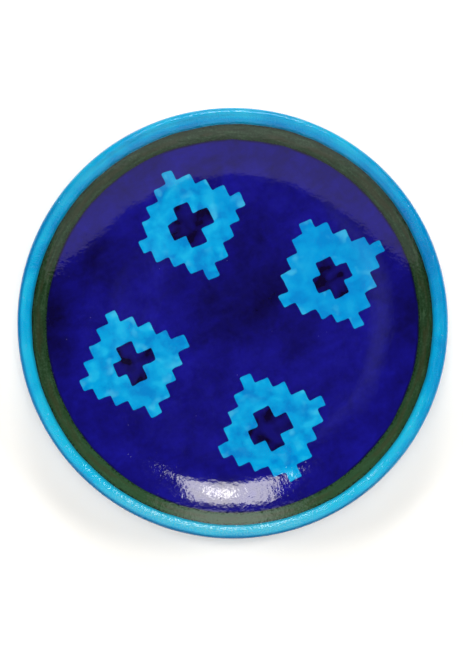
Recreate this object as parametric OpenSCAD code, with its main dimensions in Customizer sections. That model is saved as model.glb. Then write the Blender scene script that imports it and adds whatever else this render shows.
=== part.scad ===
// Hand painted ceramic plate: a clay body on a foot ring, a white slip over it,
// and glaze colours laid side by side on the slip.
// The plate lies on its foot: origin under the centre, +Z up through the dish.

/* [Plate] */
// Diameter over the lip
plate_d = 250; // [220:1:280]
// Thickness of the finished wall, glazes included
wall_t = 6.5; // [5.5:0.1:8]
// Diameter of the flat centre, where the wall begins to curve up
flat_d = 144; // [130:1:160]
// Radius of the curve of the wall, on its front
curve_r = 80; // [70:1:100]

/* [Foot] */
// Diameter of the foot ring where it stands
foot_d = 98; // [80:1:110]
// Width of the foot ring where it stands
foot_w = 7; // [5:0.5:9]
// Height from the table to the underside of the plate
foot_h = 5; // [4:0.5:7]

/* [Coats] */
// Thickness of the white slip on the body
slip_t = 0.4; // [0.3:0.05:0.6]
// Thickness of the glaze colours on the slip
glaze_t = 0.6; // [0.4:0.05:0.8]

/* [Painting] */
// Diameter of the inner edge of the turquoise rim
rim_inner_d = 232.6; // [228:0.2:236]
// Diameter of the inner edge of the green ring
green_inner_d = 217.4; // [210:0.2:222]
// How far the turquoise rim is painted off centre
rim_shift = 0.9; // [0:0.1:2]
// How far the green ring is painted off centre
green_shift = 1.4; // [0:0.1:2]
// Side of one painted step of a diamond
step = 7.4; // [6:0.1:7.8]
// Turn of the steps from the X axis
step_turn = 25.5; // [0:0.5:45]

/* [Hidden] */
$fn = 240;

plate_r = plate_d / 2;
flat_r = flat_d / 2;
coat_t = slip_t + glaze_t;

// The wall follows two arcs about one centre, and the lip is round and meets both
floor_z = foot_h + wall_t;
curve_z = floor_z + curve_r;
mid_r = curve_r + wall_t / 2;
lip_r = wall_t / 2;
lip_x = plate_r - lip_r;
lip_angle = asin((lip_x - flat_r) / mid_r);
lip_z = curve_z - mid_r * cos(lip_angle);

// Where the straight end of the wall's cut is closed, half way up to the arcs' centre
cut_up = (curve_z - lip_z) / 2;
cut_x = lip_x + cut_up * tan(lip_angle);

// Foot ring, with sides that lean out towards the plate and eased edges below
foot_out = foot_d / 2;
foot_in = foot_out - foot_w;
foot_mid = foot_out - foot_w / 2;
foot_lean = 1.2;
foot_ease = 1;
// Height above the table at which the glaze on the foot stops
glaze_stop = 1.6;

// Half height of a cutter that passes through the whole plate
through = 60;

// One motif: the place of its centre, the diamond's rows and the cross in it.
// The rows run from the top tip to the bottom tip, in steps:
// left end, right end, height of the row's top at its left and at its right.
// The cross has an arm up, right, down and left:
// the arm's two sides and how far out it reaches, in steps.
TOP = [
    [-24.7, 58.7],
    [
        [-0.45, 0.4, 4.55, 4.55],
        [-1.6, 1.65, 3.65, 3.65],
        [-2.7, 2.65, 2.7, 2.75],
        [-3.55, 3.75, 1.8, 1.7],
        [-4.45, 4.6, 0.5, 0.65],
        [-3.8, 3.65, -0.55, -0.55],
        [-2.75, 2.7, -1.65, -1.4],
        [-1.75, 1.6, -2.6, -2.45],
        [-0.7, 0.3, -3.7, -3.65],
        [-0.7, 0.3, -4.75, -4.75]
    ],
    [[-0.8, 0.5, 1.75], [-0.7, 0.7, 1.75], [-0.75, 0.55, -1.85], [-0.7, 0.7, -1.8]]
];
RIGHT = [
    [58.8, 26.8],
    [
        [-0.6, 0.5, 5, 5],
        [-1.65, 1.55, 4.15, 4.2],
        [-2.7, 2.6, 2.95, 3.05],
        [-3.65, 3.7, 1.95, 1.85],
        [-4.55, 4.65, 0.5, 1],
        [-3.5, 3.75, -0.55, 0.05],
        [-2.25, 2.85, -1.7, -0.95],
        [-1.3, 1.75, -2.65, -2.25],
        [-0.25, 0.65, -3.45, -3.4],
        [-0.25, 0.65, -4.5, -4.5]
    ],
    [[-0.75, 0.6, 1.6], [-0.6, 0.65, 1.55], [-0.6, 0.7, -1.7], [-0.75, 0.55, -1.55]]
];
BOTTOM = [
    [22.3, -61.5],
    [
        [-0.6, 0.4, 4.6, 4.55],
        [-1.6, 1.5, 3.55, 3.7],
        [-2.6, 2.55, 2.55, 2.8],
        [-3.45, 3.65, 1.55, 1.6],
        [-4.45, 4.7, 0.45, 0.55],
        [-3.65, 3.95, -0.6, -0.3],
        [-2.65, 2.9, -1.7, -1.4],
        [-1.5, 1.95, -2.6, -2.4],
        [-0.5, 0.55, -3.65, -3.5],
        [-0.5, 0.55, -4.5, -4.5]
    ],
    [[-0.85, 0.6, 1.6], [-0.8, 0.55, 1.65], [-0.85, 0.45, -1.75], [-0.75, 0.5, -1.8]]
];
LEFT = [
    [-58.2, -23.2],
    [
        [-0.5, 0.4, 4.4, 4.4],
        [-1.6, 1.45, 3.6, 3.35],
        [-2.7, 2.5, 2.6, 2.35],
        [-3.6, 3.45, 1.6, 1.2],
        [-4.5, 4.55, 0.5, 0.3],
        [-3.8, 3.45, -0.5, -0.85],
        [-2.75, 2.45, -1.6, -1.85],
        [-1.7, 1.5, -2.6, -2.75],
        [-0.65, 0.35, -3.5, -3.75],
        [-0.65, 0.35, -4.65, -4.65]
    ],
    [[-0.8, 0.55, 1.6], [-0.6, 0.45, 1.7], [-0.9, 0.45, -1.7], [-0.65, 0.55, -1.6]]
];
MOTIFS = [TOP, RIGHT, BOTTOM, LEFT];

// Outline of a stepped diamond: down its right side, then up its left side
function last_row(rows) = len(rows) - 1;
function right_side(rows) = [
    for (i = [0:last_row(rows) - 1])
        each [[rows[i][1], rows[i][3]], [rows[i][1], rows[i + 1][3]]]
];
function left_side(rows) = [
    for (i = [last_row(rows) - 1:-1:0])
        each [[rows[i][0], rows[i + 1][2]], [rows[i][0], rows[i][2]]]
];

// Outline of a cross, round its arms from the top one
function cross_outline(arms) = [
    [arms[0][0], arms[0][2]],
    [arms[0][1], arms[0][2]],
    [arms[0][1], arms[1][1]],
    [arms[1][2], arms[1][1]],
    [arms[1][2], arms[1][0]],
    [arms[2][1], arms[1][0]],
    [arms[2][1], arms[2][2]],
    [arms[2][0], arms[2][2]],
    [arms[2][0], arms[3][0]],
    [arms[3][2], arms[3][0]],
    [arms[3][2], arms[3][1]],
    [arms[0][0], arms[3][1]]
];

// Cross-section of the plate, taken in by a distance on every side
module section(inset) {
    front_r = curve_r + inset;
    back_r = curve_r + wall_t - inset;
    union() {
        translate([0, foot_h + inset]) square([flat_r, wall_t - 2 * inset]);
        intersection() {
            translate([flat_r, curve_z]) difference() {
                circle(back_r);
                circle(front_r);
            }
            polygon([
                [flat_r, curve_z],
                [flat_r, 0],
                [cut_x, lip_z - cut_up],
                [lip_x, lip_z]
            ]);
        }
        translate([lip_x, lip_z]) circle(lip_r - inset);
    }
}

// Everything below the middle of the wall, up to the widest line of the lip
module under_middle() {
    difference() {
        square([plate_d, lip_z]);
        translate([0, foot_h + wall_t / 2]) square([flat_r, lip_z]);
        translate([flat_r, curve_z]) circle(mid_r);
    }
}

// Cross-section of the glaze on the front and over the lip
module front_section() {
    difference() {
        section(0);
        section(glaze_t);
        under_middle();
    }
}

// Cross-section of the glaze on the back
module back_section() {
    intersection() {
        difference() {
            section(0);
            section(glaze_t);
        }
        under_middle();
    }
}

// Cross-section of the foot ring, its two sides moved out by a distance
module foot_section(grow) {
    top = foot_h + coat_t;
    polygon([
        [foot_in - foot_lean - grow, top],
        [foot_in - grow, foot_ease],
        [foot_in + foot_ease - grow, 0],
        [foot_out - foot_ease + grow, 0],
        [foot_out + grow, foot_ease],
        [foot_out + foot_lean + grow, top]
    ]);
}

// Glaze on the front, all over, before it is cut into its colours
module front_glaze() {
    rotate_extrude() front_section();
}

// Cutter inside a painted ring, which lies off centre towards -Y
module inside_ring(d, shift) {
    translate([0, -shift, -through]) cylinder(d = d, h = 2 * through);
}

// Cutter in the shape of an outline that is given in steps
module stamp(place, outline) {
    translate([place[0], place[1], -through]) rotate([0, 0, step_turn])
        linear_extrude(2 * through) polygon([for (p = outline) p * step]);
}

module diamond_stamp(motif) {
    stamp(motif[0], concat(right_side(motif[1]), left_side(motif[1])));
}

module cross_stamp(motif) {
    stamp(motif[0], cross_outline(motif[2]));
}

module diamond(motif) {
    color("deepskyblue") difference() {
        intersection() {
            front_glaze();
            diamond_stamp(motif);
        }
        cross_stamp(motif);
    }
}

module cross(motif) {
    color("midnightblue") intersection() {
        front_glaze();
        cross_stamp(motif);
    }
}

module plate_body() {
    color("wheat") rotate_extrude() section(coat_t);
}

module foot_ring() {
    color("tan") rotate_extrude() foot_section(0);
}

module slip_coat() {
    color("white") rotate_extrude() difference() {
        section(glaze_t);
        section(coat_t);
        foot_section(0);
    }
}

// The glaze on the back also runs down the outer side of the foot ring
module back_glaze() {
    color("deepskyblue") rotate_extrude() difference() {
        union() {
            back_section();
            intersection() {
                foot_section(glaze_t);
                translate([0, glaze_stop]) square([plate_r, foot_h]);
            }
        }
        section(glaze_t);
        foot_section(0);
        square([foot_mid, foot_h + wall_t]);
    }
}

module base_glaze() {
    color("deepskyblue") rotate_extrude() difference() {
        union() {
            intersection() {
                back_section();
                square([foot_in, foot_h + wall_t]);
            }
            intersection() {
                foot_section(glaze_t);
                translate([0, glaze_stop]) square([foot_mid, foot_h]);
            }
        }
        section(glaze_t);
        foot_section(0);
    }
}

module rim_band() {
    color("deepskyblue") difference() {
        front_glaze();
        inside_ring(rim_inner_d, rim_shift);
    }
}

module green_band() {
    color("darkolivegreen") difference() {
        intersection() {
            front_glaze();
            inside_ring(rim_inner_d, rim_shift);
        }
        inside_ring(green_inner_d, green_shift);
    }
}

module cobalt_ground() {
    color("darkblue") difference() {
        intersection() {
            front_glaze();
            inside_ring(green_inner_d, green_shift);
        }
        for (motif = MOTIFS) diamond_stamp(motif);
    }
}

plate_body();
foot_ring();
slip_coat();
back_glaze();
base_glaze();
rim_band();
green_band();
cobalt_ground();
diamond(TOP);  // diamond_top
diamond(RIGHT);  // diamond_right
diamond(BOTTOM);  // diamond_bottom
diamond(LEFT);  // diamond_left
cross(TOP);  // cross_top
cross(RIGHT);  // cross_right
cross(BOTTOM);  // cross_bottom
cross(LEFT);  // cross_left
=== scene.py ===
"""Hand painted ceramic plate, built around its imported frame.

Each coat is a closed thin solid, cut to hand drawn outlines that it shares with its
neighbours. The whole plate is then bent a little out of true, as a hand made one is.
"""

import math

import bpy
import numpy as np
from mathutils import Matrix, Vector
from mathutils.geometry import delaunay_2d_cdt


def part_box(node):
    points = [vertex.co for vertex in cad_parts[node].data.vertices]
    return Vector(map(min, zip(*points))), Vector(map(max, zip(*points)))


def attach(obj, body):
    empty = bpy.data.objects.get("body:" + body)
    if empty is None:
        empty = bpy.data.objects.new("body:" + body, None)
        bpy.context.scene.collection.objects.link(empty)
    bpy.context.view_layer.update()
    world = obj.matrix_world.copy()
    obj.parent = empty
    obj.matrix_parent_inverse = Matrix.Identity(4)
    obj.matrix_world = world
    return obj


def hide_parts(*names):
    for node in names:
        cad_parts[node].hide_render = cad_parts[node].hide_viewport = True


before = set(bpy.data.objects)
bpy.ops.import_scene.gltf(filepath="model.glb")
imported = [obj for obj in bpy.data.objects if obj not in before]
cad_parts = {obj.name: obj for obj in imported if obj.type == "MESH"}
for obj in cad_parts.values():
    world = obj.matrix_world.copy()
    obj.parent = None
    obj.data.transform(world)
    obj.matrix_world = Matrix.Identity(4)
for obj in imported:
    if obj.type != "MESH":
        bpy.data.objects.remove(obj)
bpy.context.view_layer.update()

MM = 0.001

# ------------ sizes

# Design values that no box of the frame shows
GLAZE_T = 0.6 * MM
SLIP_T = 0.4 * MM
FLAT_R = 72 * MM
FOOT_W = 7 * MM
FOOT_LEAN = 1.2 * MM
FOOT_EASE = 1.0 * MM
# The rim's glaze stands this high above the true face: way out from its painted edge, height
RIM_SWELL = (
    (0.0, 0.0),
    (1.5 * MM, 0.17 * MM),
    (5.5 * MM, -0.27 * MM),
    (8.3 * MM, 0.1 * MM),
    (11.2 * MM, 0.0),
)
# The lip is bent down a little, between two radii
LIP_DROP = 0.55 * MM
DROP_START = 117.0 * MM
DROP_END = 121.0 * MM
# The motifs are drawn in steps of this size, turned by this much
STEP = 7.4 * MM
STEP_TURN = math.radians(25.5)

# The rest comes from the frame
PLATE_R = (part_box("rim_band")[1].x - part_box("rim_band")[0].x) / 2
FLOOR_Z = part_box("cobalt_ground")[0].z + GLAZE_T
UNDER_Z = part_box("base_glaze")[1].z - GLAZE_T
GLAZE_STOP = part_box("base_glaze")[0].z
LIP_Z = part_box("back_glaze")[1].z
FOOT_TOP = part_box("foot_ring")[1].z
FOOT_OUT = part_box("foot_ring")[1].x - FOOT_LEAN
FOOT_IN = FOOT_OUT - FOOT_W
WALL_T = FLOOR_Z - UNDER_Z
COAT_T = SLIP_T + GLAZE_T

# The wall's two faces are arcs about one centre, and the round lip meets both
LIP_R = WALL_T / 2
LIP_X = PLATE_R - LIP_R
LIP_RISE = LIP_Z - (FLOOR_Z - LIP_R)
MID_R = ((LIP_X - FLAT_R) ** 2 + LIP_RISE ** 2) / (2 * LIP_RISE)
CURVE_R = MID_R - LIP_R
CURVE_Z = FLOOR_Z + CURVE_R
LIP_ANGLE = math.asin((LIP_X - FLAT_R) / MID_R)
TANGENT_R = FLAT_R + CURVE_R * math.sin(LIP_ANGLE)

# How many points go round the painted rings, and round the back, the clay and the slip
AROUND = 720
ANGLES = np.arange(AROUND) * (2 * math.pi / AROUND)
BACK_AROUND = 360
BACK_ANGLES = np.arange(BACK_AROUND) * (2 * math.pi / BACK_AROUND)

# Radius of the innermost points: the whole plate's, and those within the foot ring
HUB_R = 4 * MM
UNDER_HUB_R = 3 * MM

# The attribute that says how many millimetres away a colour's painted edge is
EDGE_MM = "edge_mm"

# How many points are compared with the outlines at a time, to save memory
AT_ONCE = 1500


# ------------ the hand in it

def waves(seed, count, shortest, longest, height):
    """Seeded sine waves over the plate: their wave vectors, phases and heights."""
    rng = np.random.default_rng(seed)
    turn = rng.uniform(0, 2 * math.pi, count)
    length = rng.uniform(shortest, longest, count)
    k = 2 * math.pi / length[:, None] * np.stack([np.cos(turn), np.sin(turn)], 1)
    return k, rng.uniform(0, 2 * math.pi, count), height * (length / longest)


def wave_sum(wave, xy):
    """The waves' sum at each point."""
    k, phase, height = wave
    return (np.sin(xy @ k.T + phase) * height).sum(1)


RIPPLE = waves(11, 14, 13 * MM, 42 * MM, 0.022 * MM)
TREMOR_X = waves(21, 10, 3.5 * MM, 14 * MM, 0.1 * MM)
TREMOR_Y = waves(22, 10, 3.5 * MM, 14 * MM, 0.1 * MM)

OVAL = 0.0046          # the plate is this much longer along Y than along X
SAG_2 = 0.28 * MM      # how far the lip rises and falls, twice round
SAG_3 = 0.14 * MM      # and three times round
PHASE_2, PHASE_3 = 0.9, 2.2


def smooth_step(value, start, end):
    """From 0 at start to 1 at end, with no corner."""
    share = np.clip((value - start) / (end - start), 0, 1)
    return share * share * (3 - 2 * share)


def hand_made(co):
    """Bends points of the true plate to those of the hand made one."""
    co = np.asarray(co, float)
    x, y, z = co[:, 0], co[:, 1], co[:, 2]
    phi = np.arctan2(y, x)
    out = np.clip((np.hypot(x, y) - FOOT_OUT) / (PLATE_R - FOOT_OUT), 0, None) ** 2
    off_foot = np.clip((z - GLAZE_STOP) / (FOOT_TOP - GLAZE_STOP), 0, 1)
    stretch = 1 + OVAL * out * np.sin(phi) ** 2
    rise = out * (SAG_2 * np.cos(2 * phi + PHASE_2) + SAG_3 * np.cos(3 * phi + PHASE_3))
    ripple = wave_sum(RIPPLE, co[:, :2]) * off_foot
    drop = LIP_DROP * smooth_step(np.hypot(x, y), DROP_START, DROP_END)
    return np.stack([x * stretch, y * stretch, z + rise + ripple - drop], 1)


# ------------ the true plate's faces

def front_point(r, inset=0.0):
    """Points (r, z) under the front face, an inset along its normal from radius r."""
    r = np.asarray(r, float)
    a = np.arcsin(np.clip((r - FLAT_R) / CURVE_R, 0, 1))
    flat = np.minimum(r, FLAT_R)
    depth = CURVE_R + inset
    return np.stack([flat + depth * np.sin(a), CURVE_Z - depth * np.cos(a)], -1)


def lip_point(beta, inset=0.0):
    """Points (r, z) of the lip, where beta is 0 at its widest and rises to the front."""
    radius = LIP_R - inset
    return np.stack([LIP_X + radius * np.cos(beta), LIP_Z + radius * np.sin(beta)], -1)


def back_point(a, inset=0.0):
    """Points (r, z) of the wall's back, where it slopes at angle a."""
    radius = CURVE_R + WALL_T - inset
    return np.stack([FLAT_R + radius * np.sin(a), CURVE_Z - radius * np.cos(a)], -1)


def lip_front(inset, count=12):
    """The lip from the front face over its crest to its widest line."""
    return lip_point(np.linspace(math.pi / 2 + LIP_ANGLE, 0, count), inset)


def lip_back(inset, count=7):
    """The lip from its widest line down to the back face."""
    return lip_point(np.linspace(0, LIP_ANGLE - math.pi / 2, count), inset)


def wall_back(inset, count=46):
    """The wall's back, from the lip down to where it is flat."""
    return back_point(np.linspace(LIP_ANGLE, 0, count), inset)


def flat_line(start, end, z, count):
    """Points along a level line."""
    r = np.linspace(start, end, count)
    return np.stack([r, np.full(count, z)], -1)


def joined(*parts):
    """One path out of several, with a point that two share kept once."""
    path = [parts[0]]
    for part in parts[1:]:
        same = np.allclose(path[-1][-1], part[0], atol=1e-7)
        path.append(part[1:] if same else part)
    return np.concatenate(path)


def outline_at(inset):
    """The whole plate's section, from the axis on the front round to the axis below."""
    return joined(
        front_point(np.linspace(HUB_R, FLAT_R, 40), inset),
        front_point(np.linspace(FLAT_R, TANGENT_R, 34), inset),
        lip_front(inset),
        lip_back(inset),
        wall_back(inset),
        flat_line(FLAT_R, HUB_R, UNDER_Z + inset, 40),
    )


# ------------ meshes

def mesh_object(name, co, faces, sharp=(), edge=None):
    """A mesh object in the plate's frame, smooth apart from its sharp edges."""
    mesh = bpy.data.meshes.new(name)
    mesh.from_pydata([tuple(p) for p in hand_made(co)], [], faces)
    mesh.polygons.foreach_set("use_smooth", [True] * len(mesh.polygons))
    if len(sharp):
        keys = {(min(a, b), max(a, b)) for a, b in sharp}
        marks = [(min(a, b), max(a, b)) in keys for a, b in (e.vertices for e in mesh.edges)]
        attribute = mesh.attributes.new("sharp_edge", "BOOLEAN", "EDGE")
        attribute.data.foreach_set("value", marks)
    if edge is not None:
        attribute = mesh.attributes.new(EDGE_MM, "FLOAT", "POINT")
        attribute.data.foreach_set("value", np.asarray(edge, np.float32))
    mesh.validate()
    mesh.update()
    piece = bpy.data.objects.new(name, mesh)
    bpy.context.scene.collection.objects.link(piece)
    return piece


def ring_faces(around, across):
    """Quads of a closed ring whose section is a closed loop of points."""
    k, m = np.meshgrid(np.arange(around), np.arange(across), indexing="ij")
    k2, m2 = (k + 1) % around, (m + 1) % across
    quads = np.stack([k * across + m, k * across + m2, k2 * across + m2, k2 * across + m], -1)
    return quads.reshape(-1, 4).tolist()


def ring_points(sections, angles):
    """Places a section (r, z) at each angle. sections is one section or one for each angle."""
    sections = np.broadcast_to(sections, (len(angles),) + sections.shape[-2:])
    r, z = sections[..., 0], sections[..., 1]
    cos, sin = np.cos(angles)[:, None], np.sin(angles)[:, None]
    return np.stack([r * cos, r * sin, z], -1).reshape(-1, 3)


def ring_sharp(around, across, corners):
    """The edges that run round the ring at the section's corners."""
    return [
        (k * across + m, (k + 1) % around * across + m)
        for m in corners for k in range(around)
    ]


def ring_piece(name, sections, corners, angles=ANGLES, edge=None):
    """A closed ring with a closed section, which runs clockwise when +r is to the right."""
    across = sections.shape[-2]
    return mesh_object(
        name, ring_points(sections, angles), ring_faces(len(angles), across),
        ring_sharp(len(angles), across, corners), edge,
    )


def turned_solid(path, angles, corners=(), offset=0):
    """Points, faces and sharp edges of a solid turned from a path between two poles."""
    n, across = len(angles), len(path)
    poles = [[0, 0, path[0][1]], [0, 0, path[-1][1]]]
    co = np.concatenate([ring_points(path, angles), poles])
    faces = []
    for k in range(n):
        a, b = k * across, (k + 1) % n * across
        faces.append((n * across, a, b))
        faces += [(a + m, a + m + 1, b + m + 1, b + m) for m in range(across - 1)]
        faces.append((n * across + 1, b + across - 1, a + across - 1))
    faces = [tuple(offset + i for i in f) for f in faces]
    sharp = [(offset + a, offset + b) for a, b in ring_sharp(n, across, corners)]
    return co, faces, sharp


# ------------ painted outlines

RING_TREMOR = 0.1 * MM        # about how tall the waves of a ring's edge are
RING_WAVES = range(5, 70, 3)  # how many times round each of them goes
RING_FADE = 8                 # where their height has about halved


def ring_edge(node, swing_2, swing_3, seed):
    """The painted edge of a ring: its radius at each angle about the plate's centre.

    The circle comes from the node that it bounds. The swings are what the hand added
    twice and three times round, as (cosine, sine), and a seeded tremor follows.
    """
    low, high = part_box(node)
    radius = (high.x - low.x) / 2
    cx, cy = (high.x + low.x) / 2, (high.y + low.y) / 2
    cos, sin = np.cos(ANGLES), np.sin(ANGLES)
    r = cx * cos + cy * sin + np.sqrt(radius ** 2 - (cx * sin - cy * cos) ** 2)
    r += swing_2[0] * np.cos(2 * ANGLES) + swing_2[1] * np.sin(2 * ANGLES)
    r += swing_3[0] * np.cos(3 * ANGLES) + swing_3[1] * np.sin(3 * ANGLES)
    rng = np.random.default_rng(seed)
    for k in RING_WAVES:
        height = RING_TREMOR * (RING_FADE / (k + RING_FADE))
        r += height * np.cos(k * ANGLES + rng.uniform(0, 2 * math.pi))
    return r


RIM_EDGE = ring_edge("green_band", (0, 0.3 * MM), (-0.3 * MM, 0.1 * MM), 31)
GREEN_EDGE = ring_edge("cobalt_ground", (-0.2 * MM, 0), (-0.1 * MM, 0.3 * MM), 32)

# One motif: the place of its centre, the diamond's rows and the cross in it.
# The rows run from the top tip to the bottom tip, in steps:
# left end, right end, height of the row's top at its left and at its right.
# The cross has an arm up, right, down and left:
# the arm's two sides and how far out it reaches, in steps.
MOTIFS = {
    "top": (
        (-24.7, 58.7),
        (
            (-0.45, 0.4, 4.55, 4.55),
            (-1.6, 1.65, 3.65, 3.65),
            (-2.7, 2.65, 2.7, 2.75),
            (-3.55, 3.75, 1.8, 1.7),
            (-4.45, 4.6, 0.5, 0.65),
            (-3.8, 3.65, -0.55, -0.55),
            (-2.75, 2.7, -1.65, -1.4),
            (-1.75, 1.6, -2.6, -2.45),
            (-0.7, 0.3, -3.7, -3.65),
            (-0.7, 0.3, -4.75, -4.75),
        ),
        ((-0.8, 0.5, 1.75), (-0.7, 0.7, 1.75), (-0.75, 0.55, -1.85), (-0.7, 0.7, -1.8)),
    ),
    "right": (
        (58.8, 26.8),
        (
            (-0.6, 0.5, 5, 5),
            (-1.65, 1.55, 4.15, 4.2),
            (-2.7, 2.6, 2.95, 3.05),
            (-3.65, 3.7, 1.95, 1.85),
            (-4.55, 4.65, 0.5, 1),
            (-3.5, 3.75, -0.55, 0.05),
            (-2.25, 2.85, -1.7, -0.95),
            (-1.3, 1.75, -2.65, -2.25),
            (-0.25, 0.65, -3.45, -3.4),
            (-0.25, 0.65, -4.5, -4.5),
        ),
        ((-0.75, 0.6, 1.6), (-0.6, 0.65, 1.55), (-0.6, 0.7, -1.7), (-0.75, 0.55, -1.55)),
    ),
    "bottom": (
        (22.3, -61.5),
        (
            (-0.6, 0.4, 4.6, 4.55),
            (-1.6, 1.5, 3.55, 3.7),
            (-2.6, 2.55, 2.55, 2.8),
            (-3.45, 3.65, 1.55, 1.6),
            (-4.45, 4.7, 0.45, 0.55),
            (-3.65, 3.95, -0.6, -0.3),
            (-2.65, 2.9, -1.7, -1.4),
            (-1.5, 1.95, -2.6, -2.4),
            (-0.5, 0.55, -3.65, -3.5),
            (-0.5, 0.55, -4.5, -4.5),
        ),
        ((-0.85, 0.6, 1.6), (-0.8, 0.55, 1.65), (-0.85, 0.45, -1.75), (-0.75, 0.5, -1.8)),
    ),
    "left": (
        (-58.2, -23.2),
        (
            (-0.5, 0.4, 4.4, 4.4),
            (-1.6, 1.45, 3.6, 3.35),
            (-2.7, 2.5, 2.6, 2.35),
            (-3.6, 3.45, 1.6, 1.2),
            (-4.5, 4.55, 0.5, 0.3),
            (-3.8, 3.45, -0.5, -0.85),
            (-2.75, 2.45, -1.6, -1.85),
            (-1.7, 1.5, -2.6, -2.75),
            (-0.65, 0.35, -3.5, -3.75),
            (-0.65, 0.35, -4.65, -4.65),
        ),
        ((-0.8, 0.55, 1.6), (-0.6, 0.45, 1.7), (-0.9, 0.45, -1.7), (-0.65, 0.55, -1.6)),
    ),
}


def diamond_corners(rows):
    """Corners of a stepped diamond, clockwise: down its right side, then up its left."""
    corners = []
    for row, below in zip(rows, rows[1:]):
        corners += [(row[1], row[3]), (row[1], below[3])]
    for row, below in reversed(list(zip(rows, rows[1:]))):
        corners += [(row[0], below[2]), (row[0], row[2])]
    return corners


def cross_corners(arms):
    """Corners of a cross, clockwise round its arms from the top one."""
    up, right, down, left = arms
    return [
        (up[0], up[2]), (up[1], up[2]),
        (up[1], right[1]), (right[2], right[1]), (right[2], right[0]),
        (down[1], right[0]), (down[1], down[2]), (down[0], down[2]),
        (down[0], left[0]), (left[2], left[0]), (left[2], left[1]),
        (up[0], left[1]),
    ]


BRUSH_PACE = 0.42 * MM     # between the points of a brushed outline
BRUSH_SOFTENING = 6        # how many times its corners are rounded


def brushed_loop(place, corners):
    """An outline in steps as a closed brush line on the plate, counterclockwise."""
    corners = np.array(corners[::-1], float) * STEP
    cos, sin = math.cos(STEP_TURN), math.sin(STEP_TURN)
    corners = corners @ np.array([[cos, sin], [-sin, cos]]) + np.array(place) * MM
    points = []
    for a, b in zip(corners, np.roll(corners, -1, 0)):
        count = max(2, round(np.linalg.norm(b - a) / BRUSH_PACE))
        points += [a + (b - a) * i / count for i in range(count)]
    points = np.array(points)
    for _ in range(BRUSH_SOFTENING):
        points = (np.roll(points, 1, 0) + 2 * points + np.roll(points, -1, 0)) / 4
    tremor = np.stack([wave_sum(TREMOR_X, points), wave_sum(TREMOR_Y, points)], 1)
    return points + tremor


def ring_loop(radii):
    """A ring's painted edge as a closed line of points."""
    return np.stack([radii * np.cos(ANGLES), radii * np.sin(ANGLES)], 1)


# ------------ painted regions

def far_from(points, loops):
    """How far each point is from the nearest of the loops."""
    a = np.concatenate(loops)
    b = np.concatenate([np.roll(loop, -1, 0) for loop in loops])
    ab = b - a
    square = (ab ** 2).sum(1)
    nearest = []
    for some in np.array_split(points, max(1, len(points) // AT_ONCE)):
        rel = some[:, None] - a[None]
        t = np.clip((rel * ab[None]).sum(2) / square, 0, 1)
        nearest.append(np.sqrt(((rel - t[..., None] * ab[None]) ** 2).sum(2).min(1)))
    return np.concatenate(nearest)


def inside(points, loops):
    """Which points lie inside an odd number of the loops."""
    a = np.concatenate(loops)
    b = np.concatenate([np.roll(loop, -1, 0) for loop in loops])
    found = []
    for some in np.array_split(points, max(1, len(points) // AT_ONCE)):
        x, y = some[:, 0, None], some[:, 1, None]
        spans = (a[:, 1] > y) != (b[:, 1] > y)
        with np.errstate(divide="ignore", invalid="ignore"):
            cut = a[:, 0] + (y - a[:, 1]) * (b[:, 0] - a[:, 0]) / (b[:, 1] - a[:, 1])
        found.append((spans & (x < cut)).sum(1) % 2 == 1)
    return np.concatenate(found)


def beside(loop, distance):
    """A copy of a loop, moved sideways."""
    along = np.roll(loop, -1, 0) - np.roll(loop, 1, 0)
    along /= np.linalg.norm(along, axis=1)[:, None]
    return loop + distance * np.stack([-along[:, 1], along[:, 0]], 1)


FILL_SPACING = 0.9 * MM             # between the points that fill a motif
FIELD_SPACING = 1.5 * MM            # and between those that fill the blue field
FILL_ROWS = (0.35 * MM, 0.85 * MM)  # how far from an outline rows of points follow it
LATTICE_GAP = 0.6                   # least gap from the last row to the lattice, in spacings
ROW_GAP = 0.92                      # a row stops where it comes nearer than this share


def fill_points(loops, spacing):
    """Points to fill a region: a lattice, and rows of points that follow its edges."""
    everything = np.concatenate(loops)
    low, high = everything.min(0), everything.max(0)
    x = np.arange(low[0], high[0], spacing)
    y = np.arange(low[1], high[1], spacing * math.sqrt(3) / 2)
    gx, gy = np.meshgrid(x, y)
    gx = gx + (np.arange(len(y)) % 2)[:, None] * spacing / 2
    lattice = np.stack([gx.ravel(), gy.ravel()], 1)
    keep = far_from(lattice, loops) > max(FILL_ROWS) + spacing * LATTICE_GAP
    points = [lattice[keep]]
    for distance in FILL_ROWS:
        row = np.concatenate([
            beside(loop[::2], side * distance) for loop in loops for side in (1, -1)
        ])
        points.append(row[far_from(row, loops) > distance * ROW_GAP])
    points = np.concatenate(points)
    return points[inside(points, loops)]


def painted_piece(name, loops, spacing=FILL_SPACING):
    """A skin of glaze between loops: the first is its outline and the others are holes."""
    fill = fill_points(loops, spacing)
    edges, start = [], 0
    for loop in loops:
        n = len(loop)
        edges += [(start + i, start + (i + 1) % n) for i in range(n)]
        start += n
    in_mm = 1000.0
    flat = [Vector(p * in_mm) for p in np.concatenate(loops + [fill])]
    whole_hull, same_point = 0, 1e-6
    verts, _, tris, *_ = delaunay_2d_cdt(flat, edges, [], whole_hull, same_point)
    xy = np.array([tuple(v) for v in verts]) / in_mm
    tris = np.array(tris)
    middle = xy[tris].mean(1)
    on_edge = (tris < start).all(1)
    keep = ~on_edge
    keep[on_edge] = inside(middle[on_edge], loops)
    tris = tris[keep]
    ab = xy[tris[:, 1]] - xy[tris[:, 0]]
    ac = xy[tris[:, 2]] - xy[tris[:, 0]]
    turned = ab[:, 0] * ac[:, 1] < ab[:, 1] * ac[:, 0]
    tris[turned] = tris[turned][:, ::-1]
    return skin_solid(name, xy, tris, far_from(xy, loops) / MM)


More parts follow.
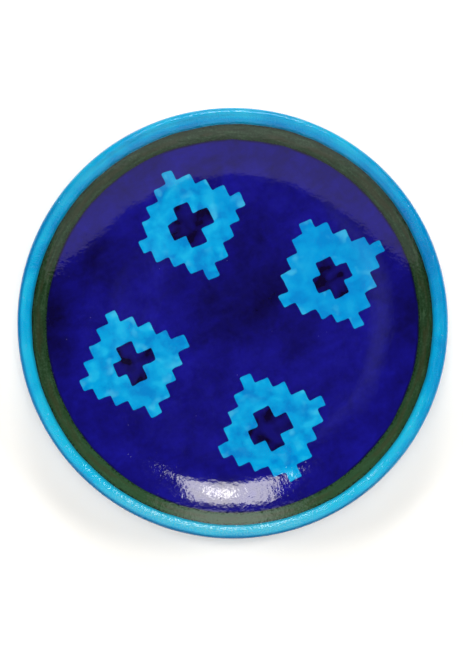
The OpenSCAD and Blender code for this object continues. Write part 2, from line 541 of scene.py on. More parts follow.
def skin_solid(name, xy, tris, edge_mm):
    """Lays flat triangles on the plate's front and gives them the glaze's thickness."""
    r = np.hypot(xy[:, 0], xy[:, 1])
    unit = xy / np.maximum(r, 1e-9)[:, None]
    layers = []
    for inset in (0.0, GLAZE_T):
        rz = front_point(r, inset)
        layers.append(np.column_stack([unit * rz[:, :1], rz[:, 1]]))
    n = len(xy)
    tris = tris.tolist()
    faces = [tuple(t) for t in tris]
    faces += [(c + n, b + n, a + n) for a, b, c in tris]
    directed = {(t[i], t[(i + 1) % 3]) for t in tris for i in range(3)}
    border = sorted((a, b) for a, b in directed if (b, a) not in directed)
    faces += [(b, a, a + n, b + n) for a, b in border]
    sharp = border + [(a + n, b + n) for a, b in border]
    return mesh_object(name, np.concatenate(layers), faces, sharp, np.tile(edge_mm, 2))


def wall_section(inner, outer, count):
    """A skin's section on the front between two radii at each angle, and its edge distances."""
    share = np.linspace(0, 1, count)
    r = inner[:, None] + (outer - inner)[:, None] * share
    top, under = front_point(r), front_point(r, GLAZE_T)
    near = np.minimum(r - inner[:, None], outer[:, None] - r) / MM
    return np.concatenate([top, under[:, ::-1]], 1), np.concatenate([near, near[:, ::-1]], 1)


def make_rim_band():
    """Turquoise from its painted inner edge up the wall and over the lip's crest.

    The glaze swells beyond its painted edge, thins to a broad slope and swells again.
    """
    on_wall, on_lip = 14, 20
    share = np.linspace(0, 1, on_wall)
    r = RIM_EDGE[:, None] + (TANGENT_R - RIM_EDGE)[:, None] * share
    beta = np.linspace(math.pi / 2 + LIP_ANGLE, 0, on_lip)[1:]

    def face(wall_inset, lip_inset):
        lip = np.broadcast_to(lip_point(beta, lip_inset), (AROUND, len(beta), 2))
        return np.concatenate([front_point(r, wall_inset), lip], 1)

    bare = face(0.0, 0.0)
    length = np.linalg.norm(np.diff(bare, axis=1), axis=2).cumsum(1)
    length = np.concatenate([np.zeros((AROUND, 1)), length], 1)
    swell = np.zeros_like(length)
    for (start, low), (end, high) in zip(RIM_SWELL, RIM_SWELL[1:]):
        swell += (high - low) * smooth_step(length, start, end)
    top = face(-swell[:, :on_wall], -swell[:, on_wall:])
    under = face(GLAZE_T, GLAZE_T)
    sections = np.concatenate([top, under[:, ::-1]], 1)
    edges = np.concatenate([length, length[:, ::-1]], 1) / MM
    m = top.shape[1]
    return ring_piece("rim_turquoise", sections, (0, m - 1, m, 2 * m - 1), edge=edges.ravel())


def make_green_band():
    """The dark green ring between its two painted edges."""
    n = 13
    sections, edges = wall_section(GREEN_EDGE, RIM_EDGE, n)
    return ring_piece("green_ring", sections, (0, n - 1, n, 2 * n - 1), edge=edges.ravel())


# ------------ the back and the foot

# How many points go down a side of the foot, and across the recess inside it
SIDE_COUNT = 7
RECESS_COUNT = 22

# The back glaze curves down into the foot: how far out it starts, then its next point
CURVE_START = 1.5 * MM
CURVE_OUT = 0.5 * MM
CURVE_DOWN = 0.15 * MM
# How near other level lines of points come to the foot's side
CORNER_GAP = 1.0 * MM

# The glaze stops on the foot this far above its CAD level, in waves of about this height
STOP_LIFT = 0.1 * MM
STOP_TREMOR = 0.2 * MM
STOP_WAVES = (2, 3, 5, 8, 13, 21, 34)
STOP_FADE = 4


def foot_side(grow, low, out):
    """A side of the foot ring from the plate down to a level, outer or inner."""
    z = np.linspace(UNDER_Z + GLAZE_T, low, SIDE_COUNT)
    lean = FOOT_LEAN * (z - FOOT_EASE) / (FOOT_TOP - FOOT_EASE)
    r = FOOT_OUT + lean + grow if out else FOOT_IN - lean - grow
    return np.stack([r, z], -1)


def glaze_line(seed):
    """The level at which the glaze stops on the foot, at each angle."""
    rng = np.random.default_rng(seed)
    z = np.full(BACK_AROUND, GLAZE_STOP + STOP_LIFT)
    for k in STOP_WAVES:
        height = STOP_TREMOR * (STOP_FADE / (k + STOP_FADE))
        z += height * np.cos(k * BACK_ANGLES + rng.uniform(0, 2 * math.pi))
    return z


def make_back_glaze():
    """Glaze from the lip's widest line down the back and down the foot's outer side."""
    sections = []
    for low in glaze_line(41):
        skin = foot_side(GLAZE_T, low, True)
        clay = foot_side(0.0, low, True)
        meet = skin[0][0]
        outside = joined(
            lip_back(0.0),
            wall_back(0.0),
            flat_line(FLAT_R, meet + CURVE_START, UNDER_Z, 16),
            np.array([[meet + CURVE_OUT, UNDER_Z - CURVE_DOWN]]),
            skin[2:],
        )
        within = joined(
            clay[::-1],
            flat_line(clay[0][0] + CORNER_GAP, FLAT_R, UNDER_Z + GLAZE_T, 16),
            wall_back(GLAZE_T)[::-1],
            lip_back(GLAZE_T)[::-1],
        )
        sections.append(np.concatenate([outside, within])[::-1])
    sections = np.array(sections)
    last = len(outside)
    total = sections.shape[1]
    corners = (0, total - 1, total - last, total - last - 1)
    return ring_piece("back_glaze_skin", sections[:, ::-1], corners, BACK_ANGLES)


def make_base_glaze():
    """Glaze on the underside within the foot ring, and down the ring's inner side."""
    stops = glaze_line(42)
    skin = np.array([foot_side(GLAZE_T, low, False) for low in stops])
    clay = np.array([foot_side(0.0, low, False) for low in stops])
    n = len(BACK_ANGLES)
    reach = skin[0, 0, 0]
    below = flat_line(UNDER_HUB_R, reach - CORNER_GAP, UNDER_Z, RECESS_COUNT)
    above = flat_line(clay[0, 0, 0], UNDER_HUB_R, UNDER_Z + GLAZE_T, RECESS_COUNT)
    below = np.broadcast_to(below, (n,) + below.shape)
    above = np.broadcast_to(above, (n,) + above.shape)
    path = np.concatenate([below, skin[:, 1:], clay[:, ::-1], above[:, 1:]], 1)[:, ::-1]
    co = np.concatenate([
        ring_points(path, BACK_ANGLES), [[0, 0, UNDER_Z + GLAZE_T], [0, 0, UNDER_Z]]
    ])
    _, faces, _ = turned_solid(path[0], BACK_ANGLES)
    stop = RECESS_COUNT - 2 + SIDE_COUNT
    sharp = ring_sharp(n, path.shape[1], (stop, stop + 1))
    return mesh_object("base_glaze_skin", co, faces, sharp)


def make_foot_ring():
    """The clay ring: leaning sides, eased lower edges and a flat that it stands on."""
    ease = np.linspace(0, math.pi / 2, 6)
    inward = FOOT_EASE - FOOT_EASE * np.cos(ease)
    height = FOOT_EASE - FOOT_EASE * np.sin(ease)
    outer = np.stack([FOOT_OUT - inward, height], -1)
    inner = np.stack([FOOT_IN + inward, height], -1)
    top = flat_line(FOOT_IN - FOOT_LEAN, FOOT_OUT + FOOT_LEAN, FOOT_TOP, 8)
    section = np.concatenate([
        top,
        np.linspace(top[-1], outer[0], 6)[1:],
        outer[1:],
        flat_line(outer[-1][0], inner[-1][0], 0, 7)[1:],
        inner[::-1][1:],
        np.linspace(inner[0], top[0], 6)[1:-1],
    ])
    return ring_piece("foot_ring_clay", section, (0, len(top) - 1), BACK_ANGLES)


def make_plate_body():
    """The clay under the slip."""
    co, faces, _ = turned_solid(outline_at(COAT_T), BACK_ANGLES)
    return mesh_object("plate_clay", co, faces)


def make_slip_coat():
    """White slip all over the clay, in two patches that the foot ring parts."""
    outer = outline_at(GLAZE_T)
    inner = outline_at(COAT_T)
    edge_r = FOOT_OUT + FOOT_LEAN
    outer = outer[(outer[:, 0] > edge_r) | (outer[:, 1] > FOOT_TOP + GLAZE_T)]
    inner = inner[(inner[:, 0] > edge_r) | (inner[:, 1] > FOOT_TOP + GLAZE_T)]
    ends = np.array([[edge_r, UNDER_Z + GLAZE_T], [edge_r, FOOT_TOP]])
    path = np.concatenate([outer, ends, inner[::-1]])
    co, faces, sharp = turned_solid(path, BACK_ANGLES, (len(outer), len(outer) + 1))
    inside_r = FOOT_IN - FOOT_LEAN
    n = 12
    patch = joined(
        flat_line(UNDER_HUB_R, inside_r, FOOT_TOP, n),
        flat_line(inside_r, UNDER_HUB_R, UNDER_Z + GLAZE_T, n),
    )
    co_2, faces_2, sharp_2 = turned_solid(patch, BACK_ANGLES, (n - 1, n), len(co))
    return mesh_object(
        "white_slip", np.concatenate([co, co_2]), faces + faces_2, sharp + sharp_2
    )


# ------------ materials

def srgb(red, green, blue):
    """A colour given as it shows, 0 to 255, in the shader's own units."""
    def linear(c):
        c /= 255
        return c / 12.92 if c <= 0.04045 else ((c + 0.055) / 1.055) ** 2.4
    return (linear(red), linear(green), linear(blue), 1.0)


class Glaze:
    """Builds one node material, a step at a time."""

    def __init__(self, name, roughness):
        self.material = bpy.data.materials.new(name)
        self.material.use_nodes = True
        self.nodes = self.material.node_tree.nodes
        self.links = self.material.node_tree.links
        self.shader = self.nodes["Principled BSDF"]
        self.shader.inputs["Roughness"].default_value = roughness
        self.shader.inputs["IOR"].default_value = 1.5
        self.place = self.nodes.new("ShaderNodeTexCoord").outputs["Object"]

    def feed(self, socket, value):
        """Puts a link or a plain value on a socket."""
        if isinstance(value, bpy.types.NodeSocket):
            self.links.new(value, socket)
        else:
            socket.default_value = value

    def math(self, operation, a, b=0.0):
        """One operation on numbers."""
        node = self.nodes.new("ShaderNodeMath")
        node.operation = operation
        self.feed(node.inputs[0], a)
        self.feed(node.inputs[1], b)
        return node.outputs[0]

    def plus(self, a, b):
        """a + b"""
        return self.math("ADD", a, b)

    def less(self, a, b):
        """a - b"""
        return self.math("SUBTRACT", a, b)

    def times(self, a, b):
        """a * b"""
        return self.math("MULTIPLY", a, b)

    def span(self, value, low, high, start=0.0, end=1.0):
        """Maps low..high onto start..end, smoothly and within those."""
        node = self.nodes.new("ShaderNodeMapRange")
        node.interpolation_type = "SMOOTHSTEP"
        self.feed(node.inputs["Value"], value)
        node.inputs["From Min"].default_value = low
        node.inputs["From Max"].default_value = high
        node.inputs["To Min"].default_value = start
        node.inputs["To Max"].default_value = end
        return node.outputs["Result"]

    def scaled(self, scale, turn=0.0):
        """The place on the plate, turned about Z and then stretched."""
        node = self.nodes.new("ShaderNodeMapping")
        node.vector_type = "TEXTURE"
        self.links.new(self.place, node.inputs["Vector"])
        node.inputs["Rotation"].default_value = (0, 0, turn)
        node.inputs["Scale"].default_value = scale
        return node.outputs["Vector"]

    def vector(self, operation, a, b=(0, 0, 0), result="Vector"):
        """One operation on vectors, whose result is a Vector or a Value."""
        node = self.nodes.new("ShaderNodeVectorMath")
        node.operation = operation
        self.feed(node.inputs[0], a)
        self.feed(node.inputs[1], b)
        return node.outputs[result]

    def length(self, vector):
        """A vector's length."""
        return self.vector("LENGTH", vector, result="Value")

    def toward(self, turn):
        """How far a point is from the axis in one direction, turned in degrees from +X."""
        turn = math.radians(turn)
        way = (math.cos(turn), math.sin(turn), 0)
        return self.vector("DOT_PRODUCT", self.place, way, "Value")

    def radius(self):
        """How far a point is from the plate's axis."""
        return self.length(self.vector("MULTIPLY", self.place, (1, 1, 0)))

    def pool(self, middle, reach, depth):
        """A pool's depth: full at its middle and 0 beyond its reach, which are in mm."""
        shifted = self.vector("SUBTRACT", self.place, (middle[0] * MM, middle[1] * MM, 0))
        shares = (1 / (reach[0] * MM), 1 / (reach[1] * MM), 0)
        return self.span(self.length(self.vector("MULTIPLY", shifted, shares)), 1, 0, 0, depth)

    def polar(self, along, across):
        """A place for strokes that run round the plate: their length and their width."""
        split = self.nodes.new("ShaderNodeSeparateXYZ")
        self.links.new(self.place, split.inputs[0])
        x, y, z = split.outputs
        radius = self.math("SQRT", self.plus(self.times(x, x), self.times(y, y)))
        join = self.nodes.new("ShaderNodeCombineXYZ")
        turn = PLATE_R / along
        self.links.new(self.times(self.math("DIVIDE", x, radius), turn), join.inputs[0])
        self.links.new(self.times(self.math("DIVIDE", y, radius), turn), join.inputs[1])
        self.links.new(self.times(self.plus(radius, z), 1 / across), join.inputs[2])
        return join.outputs[0]

    def noise(self, vector, scale=1.0, detail=2.0, roughness=0.5, distortion=0.0):
        """Soft noise, about 0.5."""
        node = self.nodes.new("ShaderNodeTexNoise")
        self.links.new(vector, node.inputs["Vector"])
        node.inputs["Scale"].default_value = scale
        node.inputs["Detail"].default_value = detail
        node.inputs["Roughness"].default_value = roughness
        node.inputs["Distortion"].default_value = distortion
        return node.outputs["Fac"]

    def grains(self, size, width, shift=0.0):
        """Scattered small spots: 1 at each spot's middle, 0 away from them."""
        shifted = self.vector("ADD", self.place, (shift, shift, 0))
        node = self.nodes.new("ShaderNodeTexVoronoi")
        node.inputs["Scale"].default_value = 1 / size
        self.links.new(shifted, node.inputs["Vector"])
        return self.span(node.outputs["Distance"], width, 0.0)

    def ramp(self, value, stops):
        """A colour for each value, from (position, colour) stops."""
        node = self.nodes.new("ShaderNodeValToRGB")
        self.links.new(value, node.inputs["Fac"])
        band = node.color_ramp.elements
        while len(band) < len(stops):
            band.new(0.5)
        for element, (position, colour) in zip(band, stops):
            element.position, element.color = position, colour
        return node.outputs["Color"]

    def mix(self, share, a, b):
        """A colour that goes from a to b as the share goes from 0 to 1."""
        node = self.nodes.new("ShaderNodeMix")
        node.data_type = "RGBA"
        self.feed(node.inputs[0], share)
        self.feed(node.inputs[6], a)
        self.feed(node.inputs[7], b)
        return node.outputs[2]

    def edge(self):
        """How many millimetres away the colour's painted edge is."""
        node = self.nodes.new("ShaderNodeAttribute")
        node.attribute_name = EDGE_MM
        return node.outputs["Fac"]

    def colour(self, value):
        """Puts a colour on the shader."""
        self.links.new(value, self.shader.inputs["Base Color"])

    def gloss(self, value):
        """Puts a roughness on the shader."""
        self.links.new(value, self.shader.inputs["Roughness"])

    def relief(self, height, depth):
        """Bumps of a depth in metres, where height runs from 0 to 1."""
        node = self.nodes.new("ShaderNodeBump")
        node.inputs["Strength"].default_value = 1.0
        node.inputs["Distance"].default_value = depth
        self.links.new(height, node.inputs["Height"])
        self.links.new(node.outputs["Normal"], self.shader.inputs["Normal"])


# How broad a glaze's bumps and grit are, how far apart its pinholes, and how deep its relief
PEEL_SIZE = 2.6 * MM
GRIT_SIZE = 1.2 * MM
PIT_SPACING = 5.2 * MM
PEEL_DEPTH = 0.07 * MM


def glossy_skin(g, peel=1.0, wear=0.0, grit=0.0):
    """What every glaze shares: orange peel, pinholes, grit, and a little dulling and wear."""
    broad = g.noise(g.place, 1 / PEEL_SIZE, 2.0, 0.55)
    pits = g.grains(PIT_SPACING, 0.11)
    height = g.less(broad, g.times(pits, 0.5))
    if grit:
        fine = g.noise(g.place, 1 / GRIT_SIZE, 1.0, 0.5)
        height = g.plus(height, g.times(fine, grit))
    g.relief(height, PEEL_DEPTH * peel)
    g.gloss(g.plus(g.span(broad, 0.35, 0.7, 0.05, 0.09), wear))


# Where the cobalt lies deeper (less than 0) or thinner: middle and reach in mm
COBALT_POOLS = (
    ((14, 14), (60, 46), -0.3),
    ((16, 56), (26, 22), -0.14),
    ((-106, -2), (19, 46), -0.32),
    ((107, 8), (20, 42), -0.16),
    ((-74, 32), (36, 26), -0.24),
    ((40, -16), (20, 18), -0.12),
    ((78, -4), (18, 24), 0.08),
    ((-52, -64), (26, 18), -0.08),
    ((-50, 10), (20, 14), 0.04),
)


def cobalt_glaze():
    """Cobalt blue in uneven washes, deeper in the middle where it pooled."""
    g = Glaze("cobalt_blue_glaze", 0.1)
    wash = g.noise(g.place, 1 / (17 * MM), 3.0, 0.55, 0.5)
    stroke = g.noise(g.scaled((30 * MM, 7 * MM, 20 * MM), 0.5), 1.0, 3.0, 0.6, 0.4)
    mottle = g.noise(g.place, 1 / (3.2 * MM), 3.0, 0.6)
    tone = g.plus(g.times(wash, 0.55), g.times(stroke, 0.22))
    tone = g.plus(tone, g.times(mottle, 0.23))
    for middle, reach, depth in COBALT_POOLS:
        tone = g.plus(tone, g.pool(middle, reach, depth))
    colour = g.ramp(tone, [
        (0.13, srgb(8, 4, 54)), (0.31, srgb(12, 8, 82)),
        (0.46, srgb(15, 11, 104)), (0.66, srgb(20, 17, 130)),
    ])
    bleed = g.times(g.span(g.edge(), 1.3, 0.2), g.span(wash, 0.4, 0.6, 0.25, 0.85))
    bleed = g.times(bleed, g.span(g.radius(), 98 * MM, 104 * MM))
    colour = g.mix(bleed, colour, srgb(8, 5, 44))
    # Painted glints: pale specks stand in for tiny glints off pinholes in the glaze
    specks = g.grains(11 * MM, 0.035, 0.1)
    colour = g.mix(g.times(specks, 0.5), colour, srgb(120, 112, 170))
    glossy_skin(g, grit=0.15)
    g.colour(colour)
    return g.material


def motif_glaze():
    """Turquoise in soft washes, thin and pale in patches, and laid on thicker at one side."""
    g = Glaze("motif_turquoise_glaze", 0.1)
    wash = g.noise(g.place, 1 / (9 * MM), 1.5, 0.5, 0.3)
    mottle = g.noise(g.place, 1 / (2.2 * MM), 3.0, 0.6)
    tone = g.plus(g.times(wash, 0.82), g.times(mottle, 0.18))
    colour = g.ramp(tone, [
        (0.36, srgb(0, 118, 188)), (0.46, srgb(0, 137, 198)),
        (0.54, srgb(1, 146, 203)), (0.64, srgb(18, 160, 208)),
    ])
    thick = g.span(g.toward(37), 26 * MM, 46 * MM, 0.0, 0.45)
    colour = g.mix(thick, colour, srgb(0, 124, 194))
    patch = g.span(g.noise(g.place, 1 / (8 * MM), 1.0, 0.5, 0.2), 0.55, 0.75)
    near = g.span(g.edge(), 6.0, 1.5, 0.2, 1.0)
    pale = g.times(g.times(patch, near), 0.5)
    colour = g.mix(pale, colour, srgb(70, 180, 212))
    bleed = g.span(g.edge(), 0.35, 0.0, 0.0, 0.45)
    colour = g.mix(bleed, colour, srgb(2, 70, 170))
    glossy_skin(g, grit=0.15)
    g.colour(colour)
    return g.material


def rim_glaze():
    """Turquoise brushed round the rim: pale crest, dark lip runoff, painted shade and painted
    sheen.
    """
    g = Glaze("rim_turquoise_glaze", 0.1)
    streak = g.noise(g.polar(45 * MM, 2.4 * MM), 1.0, 2.0, 0.5, 0.2)
    wash = g.noise(g.polar(22 * MM, 18 * MM), 1.0, 2.0, 0.5, 0.4)
    tone = g.plus(g.times(streak, 0.15), g.times(wash, 0.45))
    tone = g.plus(tone, 0.22)
    # Painted shade and light: the rim's inner wall is painted darker towards +Y and lighter
    # towards -Y, the side the light falls on
    lower = g.span(g.toward(-80), -70 * MM, 60 * MM, -0.07, 0.2)
    tone = g.plus(tone, g.times(lower, g.span(g.edge(), 3.0, 6.0, 1.0, 0.1)))
    tone = g.plus(tone, g.span(g.edge(), 2.5, 5.0, 0.0, 0.09))
    right = g.span(g.toward(8), 80 * MM, 117 * MM, 0.0, 0.19)
    tone = g.less(tone, right)
    colour = g.ramp(tone, [
        (0.34, srgb(0, 112, 176)), (0.46, srgb(0, 136, 192)),
        (0.56, srgb(2, 150, 200)), (0.68, srgb(22, 168, 207)),
    ])
    crest = g.times(g.span(g.edge(), 1.5, 3.5), g.span(g.edge(), 8.0, 6.0))
    pale = g.times(
        g.span(wash, 0.4, 0.6, 0.1, 0.35),
        g.span(g.toward(225), -60 * MM, 80 * MM),
    )
    colour = g.mix(g.times(crest, pale), colour, srgb(24, 168, 206))
    # Painted highlight: thin is the mask of a pale sheen painted on the crest towards -Y, where
    # the key softbox is mirrored, and grain is its painted sparkle
    thin = g.times(g.span(g.edge(), 0.6, 2.2), g.span(g.edge(), 8.0, 4.5))
    thin = g.times(thin, g.span(g.toward(-97), 98 * MM, 117 * MM))
    grain = g.span(g.noise(g.place, 1 / (0.9 * MM), 2.0, 0.6), 0.4, 0.6, 0.1, 0.9)
    colour = g.mix(g.times(thin, grain), colour, srgb(84, 172, 194))
    # Partly painted shade: the outer lip is darker where the glaze runs off and where it turns
    # from the light, left out at the top that faces the light and weaker on the right
    below_top = g.span(g.toward(90), 50 * MM, 108 * MM, 0.9, 0.0)
    outer = g.times(g.span(g.edge(), 6.0, 8.2), below_top)
    outer = g.times(outer, g.span(g.toward(0), 70 * MM, 112 * MM, 1.0, 0.3))
    colour = g.mix(outer, colour, srgb(0, 104, 162))
    bleed = g.span(g.edge(), 2.0, 0.0, 0.0, 0.6)
    colour = g.mix(bleed, colour, srgb(14, 96, 104))
    wear = g.plus(g.span(crest, 0.3, 1.0, 0.0, 0.05), g.times(thin, 0.07))
    glossy_skin(g, peel=3.2, wear=wear, grit=1.3)
    g.colour(colour)
    return g.material


def green_glaze():
    """Dark olive green, speckled, with blackish dots by the cobalt and painted light towards
    -Y.
    """
    g = Glaze("dark_green_glaze", 0.1)
    streak = g.noise(g.polar(14 * MM, 2.4 * MM), 1.0, 3.0, 0.6, 0.3)
    speckle = g.noise(g.place, 1 / (1.4 * MM), 2.0, 0.6)
    tone = g.plus(g.times(streak, 0.55), g.times(speckle, 0.45))
    colour = g.ramp(tone, [
        (0.34, srgb(20, 42, 18)), (0.46, srgb(28, 54, 31)),
        (0.54, srgb(36, 62, 40)), (0.66, srgb(54, 80, 56)),
    ])
    # Painted light: thin marks the green painted lighter towards -Y, where the glaze mirrors
    # the softboxes
    thin = g.span(g.toward(-90), 10 * MM, 95 * MM, 0.0, 0.5)
    colour = g.mix(thin, colour, srgb(52, 86, 58))
    rusty = g.span(g.noise(g.polar(20 * MM, 6 * MM), 1.0, 2.0, 0.5), 0.4, 0.6, 0.05, 0.5)
    rusty = g.times(g.span(g.edge(), 1.2, 3.2), rusty)
    colour = g.mix(rusty, colour, srgb(56, 56, 36))
    bleed = g.span(g.edge(), 0.7, 0.0, 0.0, 0.7)
    colour = g.mix(bleed, colour, srgb(14, 24, 28))
    dots = g.times(g.span(g.edge(), 2.0, 0.6), g.span(speckle, 0.48, 0.58, 0.0, 0.75))
    colour = g.mix(dots, colour, srgb(10, 24, 14))
    glossy_skin(g, peel=1.3, grit=0.3)
    g.colour(colour)
    return g.material


def indigo_glaze():
    """Indigo of the crosses, near black where the brush left most."""
    g = Glaze("dark_indigo_glaze", 0.1)
    wash = g.noise(g.place, 1 / (9 * MM), 1.5, 0.5, 0.2)
    colour = g.ramp(wash, [
        (0.36, srgb(9, 2, 38)), (0.48, srgb(13, 8, 78)), (0.62, srgb(16, 12, 98)),
    ])
    glossy_skin(g)
    g.colour(colour)
    return g.material


def back_glaze():
    """Turquoise brushed round the back in broad rings."""
    g = Glaze("back_turquoise_glaze", 0.12)
    streak = g.noise(g.polar(60 * MM, 3.0 * MM), 1.0, 4.0, 0.6, 0.3)
    wash = g.noise(g.place, 1 / (26 * MM), 3.0, 0.55, 0.6)
    tone = g.plus(g.times(streak, 0.6), g.times(wash, 0.4))
    colour = g.ramp(tone, [
        (0.34, srgb(0, 104, 176)), (0.46, srgb(0, 130, 194)),
        (0.56, srgb(8, 150, 206)), (0.68, srgb(40, 174, 216)),
    ])
    glossy_skin(g, peel=1.3)
    g.colour(colour)
    return g.material


def fired_clay(name, light, dark):
    """Bare clay or slip: mealy, with dark grains and a matte face."""
    g = Glaze(name, 0.85)
    mealy = g.noise(g.place, 1 / (1.6 * MM), 4.0, 0.65)
    patch = g.noise(g.place, 1 / (14 * MM), 2.0, 0.5)
    tone = g.plus(g.times(mealy, 0.5), g.times(patch, 0.5))
    colour = g.ramp(tone, [(0.36, dark), (0.62, light)])
    specks = g.grains(2.1 * MM, 0.13, 0.3)
    colour = g.mix(g.times(specks, 0.7), colour, srgb(92, 66, 48))
    g.relief(mealy, 0.12 * MM)
    g.gloss(g.span(mealy, 0.35, 0.65, 0.75, 0.95))
    g.colour(colour)
    return g.material


# ------------ the pieces

def add(piece, node, material):
    """Puts a finished piece in its CAD node's place."""
    piece.data.materials.append(material)
    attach(piece, "root")
    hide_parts(node)


def make_plate():
    """Every piece, each riding on the one body and standing for its CAD node."""
    motif_blue = motif_glaze()
    indigo = indigo_glaze()
    back = back_glaze()
    diamonds = {}
    for side, (place, rows, arms) in MOTIFS.items():
        diamonds[side] = brushed_loop(place, diamond_corners(rows))
        cross = brushed_loop(place, cross_corners(arms))
        piece = painted_piece("motif_" + side, [diamonds[side], cross])
        add(piece, "diamond_" + side, motif_blue)
        piece = painted_piece("motif_cross_" + side, [cross])
        add(piece, "cross_" + side, indigo)
    outlines = [ring_loop(GREEN_EDGE)] + list(diamonds.values())
    field = painted_piece("cobalt_field", outlines, FIELD_SPACING)
    add(field, "cobalt_ground", cobalt_glaze())
    add(make_green_band(), "green_band", green_glaze())
    add(make_rim_band(), "rim_band", rim_glaze())
    add(make_back_glaze(), "back_glaze", back)
    add(make_base_glaze(), "base_glaze", back)
    bare = fired_clay("foot_clay_bare", srgb(222, 200, 168), srgb(186, 156, 120))
    add(make_foot_ring(), "foot_ring", bare)
    body = fired_clay("body_clay", srgb(226, 206, 176), srgb(196, 168, 132))
    add(make_plate_body(), "plate_body", body)
    white = fired_clay("slip_white", srgb(246, 244, 236), srgb(228, 222, 208))
    add(make_slip_coat(), "slip_coat", white)


# ------------ studio

FLOOR_REACH = 0.48
FLOOR_CORNERS = 96
FLOOR_COLOUR = (0.95, 0.937, 0.916, 1)


def make_floor():
    """A plain pale floor, round, which ends where the light on it begins to fall off."""
    mesh = bpy.data.meshes.new("floor")
    turns = np.linspace(0, 2 * math.pi, FLOOR_CORNERS, endpoint=False)
    corners = [(FLOOR_REACH * math.cos(t), FLOOR_REACH * math.sin(t), 0) for t in turns]
    mesh.from_pydata(corners, [], [range(FLOOR_CORNERS)])
    floor = bpy.data.objects.new("floor", mesh)
    bpy.context.scene.collection.objects.link(floor)
    g = Glaze("floor_paper", 0.9)
    g.shader.inputs["Specular IOR Level"].default_value = 0.0
    g.shader.inputs["Base Color"].default_value = FLOOR_COLOUR
    mesh.materials.append(g.material)


def area_light(name, place, aim, size, radiance, tint=(1, 1, 1)):
    """An evenly bright rectangle, which faces down until the matrix aim turns it."""
    data = bpy.data.lights.new(name, "AREA")
    data.shape = "RECTANGLE"
    data.size, data.size_y = size
    data.energy = radiance * math.pi * size[0] * size[1]
    data.color = tint
    light = bpy.data.objects.new(name, data)
    light.location = place
    light.rotation_euler = aim.to_euler()
    light.visible_camera = False
    bpy.context.scene.collection.objects.link(light)
    return light


def box_toward(name, point, lean, turn, distance, size, radiance, roll=0.0, tint=(1, 1, 1)):
    """A softbox seen from a point at a lean from straight up, turned from +X."""
    lean, turn = math.radians(lean), math.radians(turn)
    flat = math.sin(lean)
    away = Vector((flat * math.cos(turn), flat * math.sin(turn), math.cos(lean)))
    aim = away.to_track_quat("Z", "Y").to_matrix() @ Matrix.Rotation(math.radians(roll), 3, "Z")
    return area_light(name, Vector(point) + away * distance, aim, size, radiance, tint)


# Points that the lights are placed from: where their light is mirrored, and the middle
LOWER_WALL = (0, -0.098, 0.02)
RIGHT_WALL = (0.088, -0.005, 0.012)
UPPER_WALL = (0, 0.112, 0.023)
MIDDLE = (0, 0, 0.01)

KEY_TINT = (1, 0.968, 0.88)
FILL_TINT = (1, 0.985, 0.95)
SWEEP_TINT = (1, 0.86, 1)

# Name, point, lean, turn, distance, size and radiance, then roll and tint where they matter
MIRRORED = (
    ("key_softbox", LOWER_WALL, 39, 89.4, 1.0, (0.265, 0.30), 11.3, 3, KEY_TINT),
    ("key_core", LOWER_WALL, 38.5, 88, 0.99, (0.032, 0.12), 22.0, 3, KEY_TINT),
    ("rim_card", LOWER_WALL, 59, 90, 1.0, (0.54, 0.22), 0.9),
    ("rim_card_inner", LOWER_WALL, 59, 90, 0.99, (0.38, 0.21), 0.9),
    ("rim_card_core", LOWER_WALL, 59, 90, 0.98, (0.24, 0.20), 0.9),
    ("side_card", RIGHT_WALL, 17, 167, 3.0, (1.3, 1.0), 0.09),
    ("side_card_inner", RIGHT_WALL, 17, 167, 2.99, (1.0, 0.7), 0.09),
    ("side_card_core", RIGHT_WALL, 17, 167, 2.98, (0.7, 0.4), 0.09),
    ("back_card", UPPER_WALL, 48, 270, 1.5, (2.4, 0.24), 0.5),
)

# A wide box overhead: its place, its turn in degrees, its size and its radiance
SWEEP_PLACE = (0, -1.75, 1.7)
SWEEP_TURN = 1
SWEEP_SIZE = (4.4, 2.96)
SWEEP_RADIANCE = 0.66

# Name, lean, turn, distance, size of a side and radiance, all aimed at the middle
FILLS = (
    ("fill_right", 55, 8, 1.5, 0.5, 14.8),
    ("fill_left", 55, 172, 1.5, 0.5, 13.7),
    ("fill_back", 57, 90, 1.5, 0.5, 10.5),
    ("fill_above", 4, 270, 3.0, 1.8, 5.45),
)


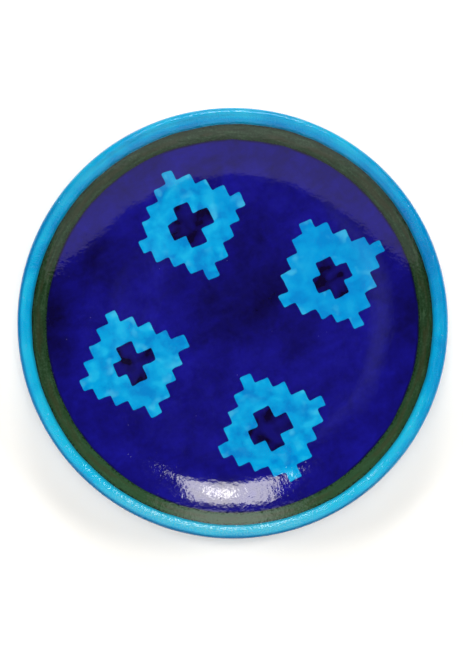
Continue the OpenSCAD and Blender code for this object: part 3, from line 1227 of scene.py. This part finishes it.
def make_lights():
    """Softboxes that only the glaze mirrors, and fills that it doesn't mirror.

    Where boxes lie one behind the other their light adds up, which softens a card's edge.
    """
    for row in MIRRORED:
        box_toward(*row).visible_diffuse = False
    level = Matrix.Rotation(math.radians(SWEEP_TURN), 3, "Z")
    sweep = area_light("sweep", SWEEP_PLACE, level, SWEEP_SIZE, SWEEP_RADIANCE, SWEEP_TINT)
    sweep.visible_diffuse = False
    for name, lean, turn, distance, side, radiance in FILLS:
        size = (side, side)
        fill = box_toward(name, MIDDLE, lean, turn, distance, size, radiance, 0, FILL_TINT)
        fill.visible_glossy = False


ROOM_LIGHT = 0.03      # how bright the room is for everything but the camera


def make_world():
    """A room that is white for the camera, and almost dark for the plate and the floor."""
    world = bpy.data.worlds.new("studio")
    bpy.context.scene.world = world
    world.use_nodes = True
    tree = world.node_tree
    background = tree.nodes["Background"]
    path = tree.nodes.new("ShaderNodeLightPath")
    strength = tree.nodes.new("ShaderNodeMapRange")
    tree.links.new(path.outputs["Is Camera Ray"], strength.inputs["Value"])
    strength.inputs["To Min"].default_value = ROOM_LIGHT
    strength.inputs["To Max"].default_value = 1.0
    tree.links.new(strength.outputs["Result"], background.inputs["Strength"])
    background.inputs["Color"].default_value = (1, 1, 1, 1)


# The camera's height over the floor in degrees, and its lens and film in millimetres. The
# picture's height fills the film.
ELEVATION = 85
LENS = 85.0
FILM = 36.0
# The plate's width as a share of the picture's height, and the point in the picture's middle
PLATE_SHARE = 0.668217
TARGET = (-0.12 * MM, -1.17 * MM, 25 * MM)


def make_camera():
    """Looks almost straight at the plate's face, from a little towards -Y."""
    elevation = math.radians(ELEVATION)
    distance = LENS / FILM / PLATE_SHARE * 2 * PLATE_R
    forward = Vector((0, math.cos(elevation), -math.sin(elevation)))
    data = bpy.data.cameras.new("camera")
    data.lens, data.sensor_width = LENS, FILM
    camera = bpy.data.objects.new("camera", data)
    camera.location = Vector(TARGET) - distance * forward
    camera.rotation_euler = (math.pi / 2 - elevation, 0, 0)
    bpy.context.scene.collection.objects.link(camera)
    bpy.context.scene.camera = camera


make_camera()
make_plate()
make_floor()
make_lights()
make_world()
bpy.context.scene.view_settings.view_transform = "Standard"
